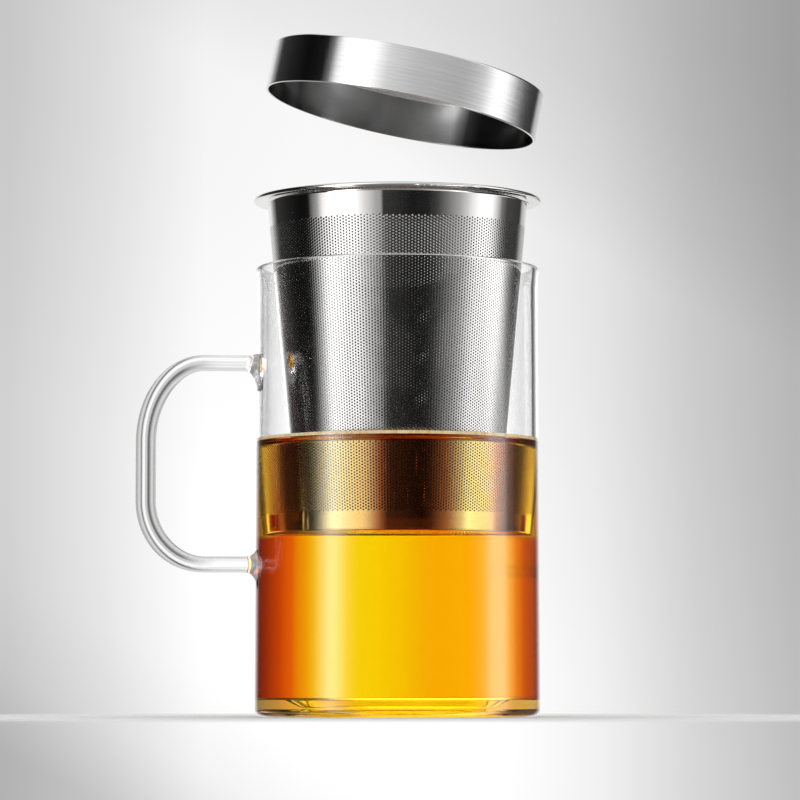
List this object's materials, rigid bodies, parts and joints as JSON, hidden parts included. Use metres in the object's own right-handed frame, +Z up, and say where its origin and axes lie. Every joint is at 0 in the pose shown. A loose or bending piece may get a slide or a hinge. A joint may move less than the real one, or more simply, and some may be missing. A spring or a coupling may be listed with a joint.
{
  "type": "tea mug with infuser and lid",
  "caption": "Tall clear glass tea mug with a bent glass handle, a tapered perforated steel infuser hung by its rolled flange, and a shallow steel cap lid that lifts off.",
  "frame": {"origin": "centre of the cup's flat base, on the surface it stands on", "axes": "+Z up along the cup's axis, -X towards the handle"},
  "size_m": [0.1232, 0.0868, 0.2037],
  "materials": {
    "glass_cup": "clear, fire polished",
    "glass_handle": "clear, fire polished",
    "handle_boss_upper": "clear, fused",
    "handle_boss_lower": "clear, fused",
    "infuser_rim": "polished",
    "infuser_wall": "polished, micro-perforated",
    "infuser_floor": "polished, micro-perforated",
    "lid": "satin, brushed round its side"
  },
  "bodies": {
    "mug": {"glass_cup": "glass_cup", "glass_handle": "glass_handle", "handle_boss_upper": "handle_boss_upper", "handle_boss_lower": "handle_boss_lower"},
    "infuser": {"infuser_rim": "infuser_rim", "infuser_wall": "infuser_wall", "infuser_floor": "infuser_floor"},
    "lid": {"lid": "lid"}
  },
  "joints": [
    {"name": "infuser_lift", "type": "slide", "parent": "mug", "child": "infuser", "axis": [0, 0, 1], "range_m": [-0.0194, 0.09]},
    {"name": "lid_swing", "type": "hinge", "parent": "infuser", "child": "lid", "pos_m": [0.13185, 0, 0.16375], "axis": [0, 1, 0], "range_deg": [-11.3, 20]}
  ]
}
